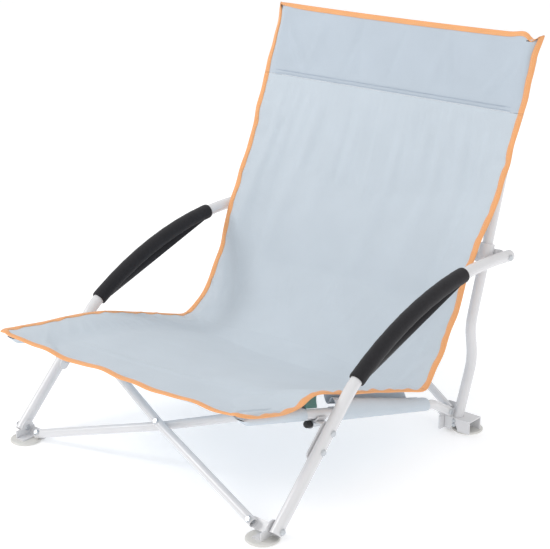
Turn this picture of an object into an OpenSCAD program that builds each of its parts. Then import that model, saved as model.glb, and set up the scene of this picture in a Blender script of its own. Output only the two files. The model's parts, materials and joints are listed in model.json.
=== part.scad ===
// Low folding camp chair: two side frames of bent steel tube, joined by a front and a
// rear pair of crossed tubes, with a cloth sling between them. All sizes in millimetres.
// +X is the sitter's left, +Y runs from the front to the back, +Z is up.

/* [Width across the chair] */
// Distance of each arm tube from the middle
arm_x = 290; // [280:1:330]
// Distance of each back post from the middle
post_x = 266; // [256:1:306]
// Distance of each seat rail from the middle
rail_x = 255; // [245:1:295]
// Distance of each foot disc from the middle
disc_x = 270; // [260:1:310]
// Width of the cloth sling
cloth_w = 574; // [500:1:640]

/* [Tubes] */
// Outer diameter of the arm tubes
arm_d = 20; // [16:0.5:22]
// Outer diameter of the back posts
post_d = 18; // [14:0.5:18]
// Outer diameter of the seat rails
rail_d = 16; // [12:0.5:16]
// Outer diameter of the front crossed tubes
cross_d = 15; // [12:0.5:15]
// Outer diameter of the rear crossed tubes
rear_d = 14; // [10:0.5:14]
// Wall thickness of every tube
tube_wall = 1.2; // [0.8:0.1:2]

/* [Arm] */
// Straight length of the front leg, from its rivet to the bend
leg_len = 234; // [200:1:260]
// Slope of the front leg
leg_angle = 45.2; // [40:0.1:50]
// Radius of the bend above the leg
leg_bend_r = 120; // [60:5:200]
// Turn of that bend
leg_bend = 12.2; // [8:0.1:16]
// Radius of the long curve of the armrest
arm_curve_r = 640; // [500:10:900]
// Turn of the long curve
arm_curve = 37; // [30:0.5:40]
// Straight length at the rear end of the arm, up to its pivot
arm_tail = 18; // [10:1:40]
// Outer diameter of the foam grip
foam_d = 27; // [24:0.5:27]
// Turn of the arm's curve that the foam covers
foam_turn = 27.2; // [15:0.1:32]

/* [Back post] */
// Slope of the lowest stretch of the post
post_low_angle = 69.5; // [66:0.1:74]
// Length of the lowest stretch
post_low_len = 88; // [70:1:110]
// Slope of the short stretch between the two bends
post_mid_angle = 99.7; // [90:0.1:104]
// Length of the short stretch
post_mid_len = 24; // [10:1:40]
// Radius of both bends
post_bend_r = 80; // [60:1:100]
// Slope of the long straight top of the post
post_angle = 72.8; // [70:0.1:76]
// Length of the long straight top
post_top_len = 471; // [420:1:520]

/* [Seat rail] */
// Length of the rail from its front end to its bend
rail_front_len = 487; // [430:1:520]
// Slope down to the back of that length
rail_angle = 15.4; // [12:0.1:18]
// Steeper slope of the rear end
rail_end_angle = 31; // [26:0.1:36]

/* [Crossed tubes] */
// Distance of the front lower pivots from the middle
front_foot_x = 248; // [240:1:288]
// Distance of the front upper ends from the middle
front_top_x = 236; // [226:1:276]
// Rise of the lower half of each front tube
front_rise = 19.5; // [16:0.1:22]
// Bend of each front tube at the crossing
front_bend = 2.9; // [0:0.1:6]
// Lean of the front pair, as its slope from the floor
front_lean = 52; // [48:0.5:60]
// Distance of the rear lower pivots from the middle
rear_foot_x = 230; // [222:1:270]
// Distance of the rear upper ends from the middle
rear_top_x = 235; // [225:1:275]

/* [Feet and sheet metal] */
// Diameter of each foot disc
disc_d = 54; // [46:1:60]
// Thickness of each foot disc
disc_h = 4; // [3:0.5:6]
// Thickness of the folded sheet metal
sheet_t = 2; // [1.5:0.1:2.5]
// Diameter of the bolts and rivets
bolt_d = 6; // [5:0.5:7]
// Diameter of the bolt and rivet heads
head_d = 11; // [9:0.5:12]

/* [Sling] */
// Thickness of the plain closed solid of the cloth
cloth_t = 4; // [3:0.5:8]
// Height of the headrest pocket above its seam, along the post
pocket_h = 130; // [124:1:150]

/* [Hidden] */

$fn = 48;
run_gap = 0.08;      // radial clearance of a pin in its bore
soft_gap = 0.4;      // clearance between cloth and what it lies on
free_gap = 0.6;      // clearance between sheets and tubes that move past each other
slice = 0.01;        // thickness of the slice that joins two stretches of a flat bend

white_paint = "#ecebe8";
disc_plastic = "#dcdad5";
zinc = "#aeb2b6";
black_plastic = "#1d1c20";
foam_black = "#222127";
cloth_blue = "#cdd6e0";
pocket_blue = "#c6d0da";

// Fixed points of the side view, as [y, z]
arm_pivot = [11, 17];            // rivet of the front leg
front_pivot = [5, 19];           // middle of the two front lower pivots
front_top = [119, 164.9];        // middle of the two front upper ends
rail_pivot = [500, 40];          // rear pivot of the seat rail
rear_pivot = [530, 32];          // middle of the two rear lower pivots
rear_top = [586, 298];           // middle of the two rear upper ends
post_base = [517, 20];           // foot of the post's centre line
post_cut = 8;                    // length of post below that point
rear_disc_y = 534;               // centre of the rear foot disc
saddle_at = 28;                  // from the front scissor end to the saddle, along the rail

// Edges of the cloth in the side view, from the seam down the back and from the front of the seat
back_curve = [[412, 118], [447, 150], [468, 185], [495, 234], [511, 272], [529, 308],
              [557, 356], [585, 405], [611, 455]];
seam = [640, 541];
seat_curve = [[-44, 212], [60, 198], [180, 179], [275, 155], [340, 137], [402, 118]];

// The two tubes of a pair lie side by side, each half a tube and a gap off their middle plane.
// s is 1 for the right foot's tube and -1 for the left foot's.
rear_lean = atan2(rear_top[1] - rear_pivot[1], rear_top[0] - rear_pivot[0]);
pair_gap = 0.6;
function layer(p, lean, off) = p + off * [sin(lean), -cos(lean)];
function front_layer(s) = layer(front_pivot, front_lean, -s * (cross_d + pair_gap) / 2);
function rear_layer(p, s) = layer(p, rear_lean, s * (rear_d + pair_gap) / 2);

// ---- paths in a plane: each stretch is ["line", length] or ["bend", radius, turn] ----
function unit(a) = [cos(a), sin(a)];
function after(p, d, s) =
    s[0] == "line" ? [p + s[1] * unit(d), d]
    : [p + s[1] * sign(s[2]) * ([sin(d + s[2]) - sin(d), cos(d) - cos(d + s[2])]), d + s[2]];
function path_end(p, d, path, i = 0) =
    i == len(path) ? [p, d] : path_end(after(p, d, path[i])[0], after(p, d, path[i])[1], path, i + 1);

leg_path = [["line", leg_len], ["bend", leg_bend_r, -leg_bend], ["line", 1]];
arm_path = concat(leg_path, [["bend", arm_curve_r, -arm_curve], ["line", arm_tail]]);
hub_pivot = path_end(arm_pivot, leg_angle, arm_path)[0];
post_bends = [["line", post_low_len], ["bend", post_bend_r, post_mid_angle - post_low_angle],
              ["line", post_mid_len], ["bend", post_bend_r, post_angle - post_mid_angle]];
post_straight = path_end(post_base, post_low_angle, post_bends)[0];
// Where the slider sits on the post, measured from the start of its straight top
slider_at = (hub_pivot - post_straight) * unit(post_angle);
slider_centre = post_straight + slider_at * unit(post_angle);
rail_end_len = 50;   // from the rail's bend to its rear pivot
rail_bend_at = rail_pivot - rail_end_len * unit(-rail_end_angle);
rail_bend_r = 60;
rail_line_end = rail_bend_at - rail_bend_r * tan((rail_end_angle - rail_angle) / 2) * unit(-rail_angle);
rail_front = rail_line_end - rail_front_len * unit(-rail_angle);
rail_tail = 8;
rail_path = [["line", rail_front_len], ["bend", rail_bend_r, rail_angle - rail_end_angle],
             ["line", rail_end_len - rail_bend_r * tan((rail_end_angle - rail_angle) / 2) + rail_tail]];
front_low = front_foot_x / cos(front_rise);
front_high = front_top_x / cos(front_rise + front_bend);

// Headrest pocket's lower end and top on the post's line, and the middle of the whole depth,
// which is moved to the origin
pocket_wall = 3.5;
panel_inset = 30;    // seat and back are narrower than the pocket by this
panel_lap = 6;       // how far the back reaches over the pocket's lower end
pocket_front = 5;    // front layer of the pocket, ahead of the post's centre line
pocket_foot = post_straight + ((seam - post_straight) * unit(post_angle)) * unit(post_angle);
pocket_top = pocket_foot + pocket_h * unit(post_angle);
mid_y = (seat_curve[0][0] + pocket_top[0] + (post_d / 2 + pocket_wall) * sin(post_angle)) / 2;

// ---- placing ----
module side_of(s) { translate([0, -mid_y, 0]) mirror([s < 0 ? 1 : 0, 0, 0]) children(); }
// Local x runs along +Y, local y along +Z and local z along +X
module side_plane(x) { translate([x, 0, 0]) rotate([90, 0, 90]) children(); }
// Local z runs along +X from the point p of the side view
module across(x, p) { translate([x, p[0], p[1]]) rotate([0, 90, 0]) children(); }
// Local x stays, local y leans with the slope and local z faces the front
module leaning(x, p, slope) { translate([x, p[0], p[1]]) rotate([slope, 0, 0]) children(); }

// One stretch of a tube or rod. A straight one runs on by lap at its ends, inside the bend's
// wall, which is thicker by step, so that the two make one solid.
lap = 0.5;
step = 0.05;
module stretch(p, d, s, r, bore = 0, before = 0, behind = 0) {
    if (s[0] == "line")
        translate(p - before * unit(d)) rotate([0, 0, d]) rotate([0, 90, 0]) difference() {
            cylinder(r = r, h = s[1] + before + behind);
            if (bore > 0) translate([0, 0, -1]) cylinder(r = bore, h = s[1] + before + behind + 2);
        }
    else {
        turn = s[2];
        centre = p + s[1] * sign(turn) * [-sin(d), cos(d)];
        start = turn > 0 ? d - 90 : d + 90 + turn;
        translate(centre) rotate([0, 0, start]) rotate_extrude(angle = abs(turn), $fn = 200)
            translate([s[1], 0]) difference() {
                circle(r = r + step, $fn = 48);
                if (bore > 0) circle(r = bore - step, $fn = 48);
            }
    }
}
module tube_path(p, d, path, r, bore = 0, i = 0) {
    if (i < len(path)) {
        stretch(p, d, path[i], r, bore, i > 0 ? lap : 0, i < len(path) - 1 ? lap : 0);
        next = after(p, d, path[i]);
        tube_path(next[0], next[1], path, r, bore, i + 1);
    }
}
plug_h = 3;
function plug_profile(d) = [[0, 0], [d / 2, 0], [d / 2, plug_h / 3], [d / 2 - 2, plug_h], [0, plug_h]];
// A bolt or rivet: shank from 0 to length with a low head at each end
head_h = 2.4;
module rivet(length, head = head_d, shank = bolt_d, both = true) {
    cylinder(d = shank, h = length);
    translate([0, 0, length]) cylinder(d1 = head, d2 = head * 0.7, h = head_h);
    if (both) translate([0, 0, -head_h]) cylinder(d1 = head * 0.7, d2 = head, h = head_h);
}

// ---- front foot ----
module foot_disc() {
    rotate_extrude($fn = 96) polygon([[0, 0], [disc_d / 2 - 1, 0], [disc_d / 2, 1],
        [disc_d / 2, disc_h - 1.5], [disc_d / 2 - 1.5, disc_h], [0, disc_h]]);
}
module front_foot_pad(s) {
    color(disc_plastic) side_of(s) translate([disc_x, 0, 0]) foot_disc();
}
leg_inner_x = arm_x - arm_d / 2 - free_gap;
ear_back = cross_d / 2 + free_gap;
base_x = front_foot_x + 13;      // clear of the crossed tube's end as it turns
module front_foot_bracket(s) {
    pivot = front_layer(s);
    color(white_paint) side_of(s) difference() {
        union() {
            // side wall that carries the leg
            side_plane(leg_inner_x - sheet_t) linear_extrude(sheet_t) union() {
                translate([-14, disc_h]) square([40, 14]);
                translate([arm_pivot[0], arm_pivot[1]]) circle(d = 26);
            }
            // base on the disc
            translate([base_x, -14, disc_h]) cube([leg_inner_x - base_x, 40, sheet_t]);
            // ear that carries the crossed tube, cut level with the base
            intersection() {
                leaning(front_foot_x, pivot, front_lean) translate([0, 0, -ear_back - sheet_t])
                    linear_extrude(sheet_t) union() {
                        circle(d = 18);
                        translate([0, -9]) square([leg_inner_x - front_foot_x - sheet_t / 2, 18]);
                    }
                translate([disc_x - 60, -60, disc_h]) cube([120, 120, 60]);
            }
        }
        across(leg_inner_x - 2 * sheet_t, arm_pivot) cylinder(d = bolt_d, h = 4 * sheet_t);
        // room for the inner head of the leg's rivet
        across(leg_inner_x - sheet_t - head_h - free_gap, arm_pivot) cylinder(d = head_d + 1, h = head_h + free_gap);
        leaning(front_foot_x, pivot, front_lean) translate([0, 0, -ear_back - 2 * sheet_t])
            cylinder(d = bolt_d, h = 4 * sheet_t);
    }
}
module front_foot_rivets(s) {
    pivot = front_layer(s);
    color(zinc) side_of(s) {
        across(leg_inner_x - sheet_t, arm_pivot) rivet(sheet_t + arm_d + 2 * free_gap);
        leaning(front_foot_x, pivot, front_lean) translate([0, 0, -ear_back - sheet_t])
            rivet(sheet_t + cross_d + 2 * free_gap);
    }
}

// ---- arm ----
leg_cut = 8;      // leg below its rivet
arm_cut = 12;     // arm behind its rear pivot
module arm_tube(s) {
    color(white_paint) side_of(s) difference() {
        side_plane(arm_x) tube_path(arm_pivot - leg_cut * unit(leg_angle), leg_angle,
            concat([["line", leg_cut + leg_len]], [for (i = [1:3]) arm_path[i]],
                   [["line", arm_tail + arm_cut]]), arm_d / 2, arm_d / 2 - tube_wall);
        across(arm_x - arm_d, arm_pivot) cylinder(d = bolt_d + 2 * run_gap, h = 2 * arm_d);
        across(arm_x - arm_d, hub_pivot) cylinder(d = bolt_d + 2 * run_gap, h = 2 * arm_d);
        for (along = saddle_bolts) across(arm_x - arm_d, arm_pivot + along * unit(leg_angle))
            cylinder(d = bolt_d, h = 2 * arm_d);
    }
}
module arm_end_plug(s) {
    rear = path_end(arm_pivot, leg_angle, arm_path);
    end = rear[0] + arm_cut * unit(rear[1]);
    color(white_paint) side_of(s) side_plane(arm_x) translate(end) rotate([0, 90, rear[1]])
        rotate_extrude() polygon(plug_profile(arm_d));
}
module foam_grip(s) {
    start = path_end(arm_pivot, leg_angle, leg_path);
    color(foam_black) side_of(s) side_plane(arm_x) difference() {
        stretch(start[0], start[1], ["bend", arm_curve_r, -foam_turn], foam_d / 2);
        stretch(start[0], start[1], ["bend", arm_curve_r, -foam_turn], arm_d / 2 + 0.2);
    }
}
// The saddle holds up the seat rail: a plate on the arm, a web and a half ring
saddle_bolts = [135, 168];
saddle_ring = rail_d / 2 + 1.7;
saddle_len = 22;
rail_at_saddle = front_top + saddle_at * unit(-rail_angle)
    + [0, rail_front[1] - (front_top[1] + tan(rail_angle) * (front_top[0] - rail_front[0]))];
module rail_saddle(s) {
    plate_x = arm_x - arm_d / 2 - sheet_t;
    color(white_paint) side_of(s) difference() {
        union() {
            intersection() {
                side_plane(plate_x) linear_extrude(sheet_t) hull() {
                    for (along = [saddle_bolts[0] - 8, saddle_bolts[1] + 4])
                        translate(arm_pivot + along * unit(leg_angle)) circle(d = 19, $fn = 32);
                    translate(rail_at_saddle - [8, 14]) circle(d = 10, $fn = 32);
                }
                cube(400);
            }
            // web and half ring under the rail
            side_plane(0) translate(rail_at_saddle) rotate([0, 0, -rail_angle]) {
                translate([-saddle_len / 2, -saddle_ring - sheet_t, rail_x])
                    cube([saddle_len, sheet_t, plate_x + sheet_t / 2 - rail_x]);
                translate([-saddle_len / 2, 0, rail_x]) rotate([0, 90, 0]) difference() {
                    cylinder(r = saddle_ring + sheet_t, h = saddle_len);
                    translate([0, 0, -1]) cylinder(r = saddle_ring, h = saddle_len + 2);
                    translate([-50, -2, -1]) cube([100, 50, saddle_len + 2]);
                }
            }
        }
        for (along = saddle_bolts) across(arm_x - arm_d, arm_pivot + along * unit(leg_angle))
            cylinder(d = bolt_d, h = 2 * arm_d);
    }
}
module arm_bolts(s) {
    plate_x = arm_x - arm_d / 2 - sheet_t;
    color(zinc) side_of(s) {
        for (along = saddle_bolts) across(plate_x, arm_pivot + along * unit(leg_angle))
            rivet(sheet_t + arm_d);
        // stop pin under the saddle, with a dark cap on its front end
        side_plane(rail_x) translate(rail_at_saddle) rotate([0, 0, -rail_angle])
            translate([-saddle_len / 2 - 6, -saddle_ring - sheet_t - 4.5, 0]) rotate([0, 90, 0])
                cylinder(d = 9, h = saddle_len + 6);
    }
}

// ---- slider on the post ----
slider_len = 34;
slider_d = post_d + 8;
slider_plate_x = arm_x - arm_d / 2 - free_gap - 4;
module post_slider(s) {
    // its ear holds the top of the other side's rear tube
    pivot = rear_layer(rear_top, -s);
    ear_z = -rear_d / 2 - free_gap - 3;
    color(white_paint) side_of(s) difference() {
        union() {
            side_plane(post_x) translate(slider_centre - slider_len / 2 * unit(post_angle))
                rotate([0, 0, post_angle]) rotate([0, 90, 0]) cylinder(d = slider_d, h = slider_len);
            // plate back to the arm's pivot
            side_plane(slider_plate_x - 3) linear_extrude(7) difference() {
                hull() {
                    translate(hub_pivot) circle(d = 20, $fn = 32);
                    translate(slider_centre) circle(d = 20, $fn = 32);
                }
                translate(slider_centre - 40 * unit(post_angle)) rotate([0, 0, post_angle])
                    translate([0, -post_d / 2 - 1]) square([80, post_d + 2]);
            }
            // ear in to the rear crossed tube, seen from the front
            leaning(0, pivot, rear_lean) translate([0, 0, ear_z]) linear_extrude(3) union() {
                translate([rear_top_x, 0]) circle(d = 18);
                translate([rear_top_x, -9]) square([slider_plate_x - rear_top_x, 18]);
            }
        }
        side_plane(post_x) translate(slider_centre - slider_len * unit(post_angle))
            rotate([0, 0, post_angle]) rotate([0, 90, 0])
                cylinder(d = post_d + 2 * run_gap, h = 2 * slider_len);
        across(slider_plate_x - 20, hub_pivot) cylinder(d = bolt_d, h = 40);
        // room for the head of the arm's bolt
        across(slider_plate_x - 3 - head_h - free_gap, hub_pivot) cylinder(d = head_d + 1, h = head_h + free_gap);
    }
}
module slider_bolt(s) {
    color(zinc) side_of(s) across(slider_plate_x - 3, hub_pivot)
        rivet(arm_x + arm_d / 2 + free_gap - slider_plate_x + 3);
}

// ---- back post and rear foot ----
shoe = [[247, 506, disc_h], [298, 541, 27]];   // rear foot bracket's box
module back_post(s) {
    color(white_paint) side_of(s) difference() {
        side_plane(post_x) tube_path(post_base - post_cut * unit(post_low_angle), post_low_angle,
            concat([["line", post_cut + post_low_len]], [for (i = [1:3]) post_bends[i]],
                   [["line", post_top_len]]), post_d / 2, post_d / 2 - tube_wall);
        for (z = [14, 22]) shoe_rivet(z) cylinder(d = bolt_d - 1, h = 60);
    }
}
module shoe_rivet(z) { translate([post_x, shoe[0][1], z]) rotate([-90, 0, 0]) children(); }
module post_top_plug(s) {
    top = post_straight + post_top_len * unit(post_angle);
    color(black_plastic) side_of(s) side_plane(post_x) translate(top) rotate([0, 90, post_angle])
        rotate_extrude() polygon(plug_profile(post_d));
}
rail_ear_x = rail_x - rail_d / 2 - free_gap - 2 * sheet_t;
module rear_foot_bracket(s) {
    pivot = rear_layer(rear_pivot, s);
    size = shoe[1] - shoe[0];
    color(white_paint) side_of(s) difference() {
        union() {
            difference() {
                translate(shoe[0]) cube(size);
                translate(shoe[0] + [-1, sheet_t, -1]) cube([size[0] + 2, size[1] - 2 * sheet_t, size[2] - sheet_t + 1]);
            }
            // inner end wall, with the rail's ear above it
            side_plane(rail_ear_x) linear_extrude(2 * sheet_t) union() {
                translate([shoe[0][1] - 12, disc_h]) square([size[1] + 24, 24]);
                translate(rail_pivot) circle(d = 20);
                translate([rail_pivot[0] - 4, disc_h + 10]) square([24, rail_pivot[1] - disc_h - 10]);
            }
            translate([rail_ear_x, shoe[0][1], shoe[1][2] - sheet_t]) cube([shoe[0][0] - rail_ear_x + 1, size[1], sheet_t]);
            // ear for the rear crossed tube
            leaning(0, pivot, rear_lean) translate([0, 0, -rear_d / 2 - free_gap - sheet_t])
                linear_extrude(sheet_t) union() {
                    translate([rear_foot_x, 0]) circle(d = 16);
                    translate([rear_foot_x, -8]) square([rail_ear_x + sheet_t - rear_foot_x, 16]);
                }
        }
        side_plane(post_x) tube_path(post_base - 30 * unit(post_low_angle), post_low_angle,
            [["line", 80]], post_d / 2 + 0.15);
        for (z = [14, 22]) shoe_rivet(z) translate([0, 0, -5]) cylinder(d = bolt_d - 1, h = 60);
        across(rail_ear_x - 10, rail_pivot) cylinder(d = bolt_d, h = 20);
        leaning(rear_foot_x, pivot, rear_lean) translate([0, 0, -20]) cylinder(d = bolt_d, h = 20);
    }
}
module rear_foot_pad(s) {
    color(disc_plastic) side_of(s) translate([disc_x + 6, rear_disc_y, 0]) foot_disc();
}
module rear_foot_rivets(s) {
    pivot = rear_layer(rear_pivot, s);
    color(zinc) side_of(s) {
        for (z = [14, 22]) shoe_rivet(z) rivet(shoe[1][1] - shoe[0][1], head_d - 3, bolt_d - 1);
        across(rail_ear_x, rail_pivot) rivet(2 * sheet_t + rail_d + 2 * free_gap);
        leaning(rear_foot_x, pivot, rear_lean) translate([0, 0, -rear_d / 2 - free_gap - sheet_t])
            rivet(sheet_t + rear_d + 2 * free_gap);
    }
}

// ---- seat rail ----
notch = [119, 178];        // bare stretch of the rail, as its y from front to back
sleeve_gap = 0.3;
sleeve_t = 1.3;
function on_rail(y) = rail_front + (y - rail_front[0]) / cos(rail_angle) * unit(-rail_angle);
module seat_rail(s) {
    color(white_paint) side_of(s) difference() {
        side_plane(rail_x) tube_path(rail_front, -rail_angle, rail_path, rail_d / 2, rail_d / 2 - tube_wall);
        across(rail_x - rail_d, rail_pivot) cylinder(d = bolt_d + 2 * run_gap, h = 2 * rail_d);
    }
}
module rail_end_plug(s) {
    color(black_plastic) side_of(s) side_plane(rail_x) translate(rail_front) rotate([0, -90, -rail_angle])
        rotate_extrude() polygon(plug_profile(rail_d));
}
module rail_sleeve(s) {
    color(cloth_blue) side_of(s) side_plane(rail_x) for (part = [[rail_front[0] + 2, notch[0]], [notch[1], 440]])
        difference() {
            union() {
                translate(on_rail(part[0])) rotate([0, 90, -rail_angle])
                    cylinder(r = rail_d / 2 + sleeve_gap + sleeve_t, h = (part[1] - part[0]) / cos(rail_angle));
                // the hem's upper part, which carries the seat cloth
                translate([0, 0, -sleeve_t / 2]) linear_extrude(sleeve_t) intersection() {
                    polygon(concat([for (p = seat_curve) p - [0, soft_gap]], [on_rail(440), on_rail(-44)]));
                    translate([part[0], 0]) square([min(part[1], 398) - part[0], 400]);
                }
            }
            translate(on_rail(-100)) rotate([0, 90, -rail_angle])
                cylinder(r = rail_d / 2 + sleeve_gap, h = 700);
        }
}

// ---- crossed tubes ----
front_end = 6.5;    // tube beyond its lower pivot
front_top_end = 8;  // tube beyond its upper pivot
module front_tube_path(dia) {
    start = -front_end * unit(180 - front_rise);
    tube_path(start, 180 - front_rise, [["line", front_end + front_low]], dia / 2);
    middle = front_low * unit(180 - front_rise);
    tube_path(middle, 180 - front_rise - front_bend, [["line", front_high + front_top_end]], dia / 2);
    translate(middle) rotate([0, 90, 90 - front_rise]) cylinder(d = dia, h = slice);
}
module front_cross_tube(s) {
    pivot = front_layer(s);
    middle = front_low * unit(180 - front_rise);
    top = middle + front_high * unit(180 - front_rise - front_bend);
    color(white_paint) side_of(s) leaning(front_foot_x, pivot, front_lean) difference() {
        front_tube_path(cross_d);
        front_tube_path(cross_d - 2 * tube_wall);
        for (p = [[0, 0], middle]) translate([p[0], p[1], -cross_d]) cylinder(d = bolt_d + 2 * run_gap, h = 2 * cross_d);
        translate([top[0], top[1], -cross_d]) cylinder(d = bolt_d, h = 2 * cross_d);
    }
}
module front_tube_bolt(s) {
    pivot = front_layer(s);
    top = front_low * unit(180 - front_rise) + front_high * unit(180 - front_rise - front_bend);
    color(zinc) side_of(s) leaning(front_foot_x, pivot, front_lean) translate([top[0], top[1], -cross_d / 2])
        rivet(cross_d);
}
module crossing_rivet() {
    middle = front_low * unit(180 - front_rise);
    reach = cross_d + pair_gap / 2;
    color(zinc) side_of(1) leaning(0, front_pivot + middle[1] * unit(front_lean), front_lean)
        translate([0, 0, -reach]) rivet(2 * reach);
}
module rear_cross_tube(s) {
    pivot = rear_layer(rear_pivot, s);
    rise = norm(rear_top - rear_pivot);
    slope = atan2(rise, rear_foot_x + rear_top_x);
    length = norm([rear_foot_x + rear_top_x, rise]);
    color(white_paint) side_of(s) leaning(rear_foot_x, pivot, rear_lean) difference() {
        rotate([0, 0, 180 - slope]) translate([-8, 0, 0]) rotate([0, 90, 0]) difference() {
            cylinder(d = rear_d, h = length + 16);
            translate([0, 0, -1]) cylinder(d = rear_d - 2 * tube_wall, h = length + 18);
        }
        translate([0, 0, -rear_d]) cylinder(d = bolt_d + 2 * run_gap, h = 2 * rear_d);
        for (along = [length / 2, length]) rotate([0, 0, 180 - slope])
            translate([along, 0, -rear_d]) cylinder(d = bolt_d - 1, h = 2 * rear_d);
    }
}
module rear_tube_rivet(s) {
    pivot = rear_layer(rear_pivot, s);
    rise = norm(rear_top - rear_pivot);
    slope = atan2(rise, rear_foot_x + rear_top_x);
    length = norm([rear_foot_x + rear_top_x, rise]);
    color(zinc) side_of(s) leaning(rear_foot_x, pivot, rear_lean) rotate([0, 0, 180 - slope])
        // the head at the crossing is on the side away from the other tube
        for (along = [length / 2, length]) translate([along, 0, 0])
            rotate([s > 0 && along < length ? 180 : 0, 0, 0])
                translate([0, 0, -rear_d / 2]) rivet(rear_d, head_d - 3, bolt_d - 1, false);
}

// ---- cloth sling, as plain closed solids ----
module strip(curve, w, t) {
    normal = [for (i = [0:len(curve) - 1]) let (a = curve[max(i - 1, 0)], b = curve[min(i + 1, len(curve) - 1)],
        d = (b - a) / norm(b - a)) [-d[1], d[0]]];
    color(cloth_blue) side_of(1) side_plane(-w / 2) linear_extrude(w)
        polygon(concat(curve, [for (i = [len(curve) - 1:-1:0]) curve[i] + t * normal[i]]));
}
module seat_panel() { strip(seat_curve, cloth_w - panel_inset, cloth_t); }
module back_panel() {
    up = unit(post_angle);
    // its top lies on the front of the pocket's lower end, clear of the posts
    ahead = max(post_d / 2, pocket_front + cloth_t) + soft_gap;
    top = pocket_foot + ahead * [-up[1], up[0]] + panel_lap * up;
    strip(concat(back_curve, [top]), cloth_w - panel_inset, cloth_t);
}
module headrest_pocket() {
    up = unit(post_angle);
    out = [-up[1], up[0]];
    color(pocket_blue) side_of(1) difference() {
        union() {
            side_plane(-cloth_w / 2) linear_extrude(cloth_w) polygon([
                pocket_foot + out * pocket_front, pocket_foot + out * (pocket_front + cloth_t),
                pocket_top + out * (pocket_front + cloth_t), pocket_top + out * pocket_front]);
            for (s = [1, -1]) side_plane(s * post_x) translate(pocket_foot + 35 * up) rotate([0, 90, post_angle])
                cylinder(r = post_d / 2 + pocket_wall, h = pocket_h - 35);
        }
        for (s = [1, -1]) side_plane(s * post_x) translate(post_straight) rotate([0, 90, post_angle])
            cylinder(r = post_d / 2 + soft_gap, h = post_top_len + plug_h + soft_gap);
    }
}

// ---- every node ----
front_foot_pad(1);  // right_front_foot_pad
front_foot_pad(-1);  // left_front_foot_pad
front_foot_bracket(1);  // right_front_foot_bracket
front_foot_bracket(-1);  // left_front_foot_bracket
front_foot_rivets(1);  // right_front_foot_rivets
front_foot_rivets(-1);  // left_front_foot_rivets
arm_tube(1);  // right_arm_tube
arm_tube(-1);  // left_arm_tube
arm_end_plug(1);  // right_arm_end_plug
arm_end_plug(-1);  // left_arm_end_plug
foam_grip(1);  // right_foam_grip
foam_grip(-1);  // left_foam_grip
rail_saddle(1);  // right_rail_saddle
rail_saddle(-1);  // left_rail_saddle
arm_bolts(1);  // right_arm_bolts
arm_bolts(-1);  // left_arm_bolts
post_slider(1);  // right_post_slider
post_slider(-1);  // left_post_slider
slider_bolt(1);  // right_slider_bolt
slider_bolt(-1);  // left_slider_bolt
back_post(1);  // right_back_post
back_post(-1);  // left_back_post
post_top_plug(1);  // right_post_top_plug
post_top_plug(-1);  // left_post_top_plug
rear_foot_bracket(1);  // right_rear_foot_bracket
rear_foot_bracket(-1);  // left_rear_foot_bracket
rear_foot_pad(1);  // right_rear_foot_pad
rear_foot_pad(-1);  // left_rear_foot_pad
rear_foot_rivets(1);  // right_rear_foot_rivets
rear_foot_rivets(-1);  // left_rear_foot_rivets
seat_rail(1);  // right_seat_rail
seat_rail(-1);  // left_seat_rail
rail_end_plug(1);  // right_rail_end_plug
rail_end_plug(-1);  // left_rail_end_plug
rail_sleeve(1);  // right_rail_sleeve
rail_sleeve(-1);  // left_rail_sleeve
front_cross_tube(1);  // right_front_cross_tube
front_cross_tube(-1);  // left_front_cross_tube
front_tube_bolt(1);  // right_front_tube_bolt
front_tube_bolt(-1);  // left_front_tube_bolt
rear_cross_tube(1);  // right_rear_cross_tube
rear_cross_tube(-1);  // left_rear_cross_tube
rear_tube_rivet(1);  // right_rear_tube_rivet
rear_tube_rivet(-1);  // left_rear_tube_rivet
crossing_rivet();
headrest_pocket();
back_panel();
seat_panel();
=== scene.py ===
"""Looks of a low folding camp chair: the cloth sling with its binding, the grips, and every finish."""
import json
import math

import bmesh
import bpy
import numpy as np
from mathutils import Matrix, Vector


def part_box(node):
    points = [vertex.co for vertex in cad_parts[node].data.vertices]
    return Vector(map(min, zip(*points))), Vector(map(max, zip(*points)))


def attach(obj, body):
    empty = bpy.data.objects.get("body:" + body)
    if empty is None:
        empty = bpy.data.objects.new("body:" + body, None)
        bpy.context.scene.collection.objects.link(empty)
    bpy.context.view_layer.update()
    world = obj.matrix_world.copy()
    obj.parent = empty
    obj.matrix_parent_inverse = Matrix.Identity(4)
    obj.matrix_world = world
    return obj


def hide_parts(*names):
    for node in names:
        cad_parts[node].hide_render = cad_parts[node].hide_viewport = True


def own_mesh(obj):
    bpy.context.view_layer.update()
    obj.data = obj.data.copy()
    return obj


bl_info = {
    "name": "Folding camp chair",
    "version": (1, 0, 0),
    "blender": (4, 5, 0),
    "location": "View3D > Sidebar > Camp chair",
    "description": "Sling, binding, grips and finishes of a folding camp chair",
    "category": "Object",
}

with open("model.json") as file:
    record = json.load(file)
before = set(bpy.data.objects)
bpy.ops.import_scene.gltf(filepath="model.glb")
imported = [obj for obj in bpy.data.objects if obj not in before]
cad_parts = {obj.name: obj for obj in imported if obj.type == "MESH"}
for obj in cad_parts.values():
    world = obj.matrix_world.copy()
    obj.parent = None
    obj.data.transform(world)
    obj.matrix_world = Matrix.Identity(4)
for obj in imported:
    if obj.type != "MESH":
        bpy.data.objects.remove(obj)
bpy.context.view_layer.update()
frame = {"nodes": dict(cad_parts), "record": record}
MM = 0.001


def node_middle(node):
    low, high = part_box(node)
    return (Vector(low) + Vector(high)) / 2


# The side view is drawn with y = 0 over the middle of the front foot discs.
FRONT_Y = node_middle("right_front_foot_pad").y
SIDES = (("right", 1), ("left", -1))


def place(x, y, z):
    """A point of the side view, in millimetres, as metres in the frame."""
    return Vector((x * MM, FRONT_Y + y * MM, z * MM))


# ---------------------------------------------------------------- settings

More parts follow.
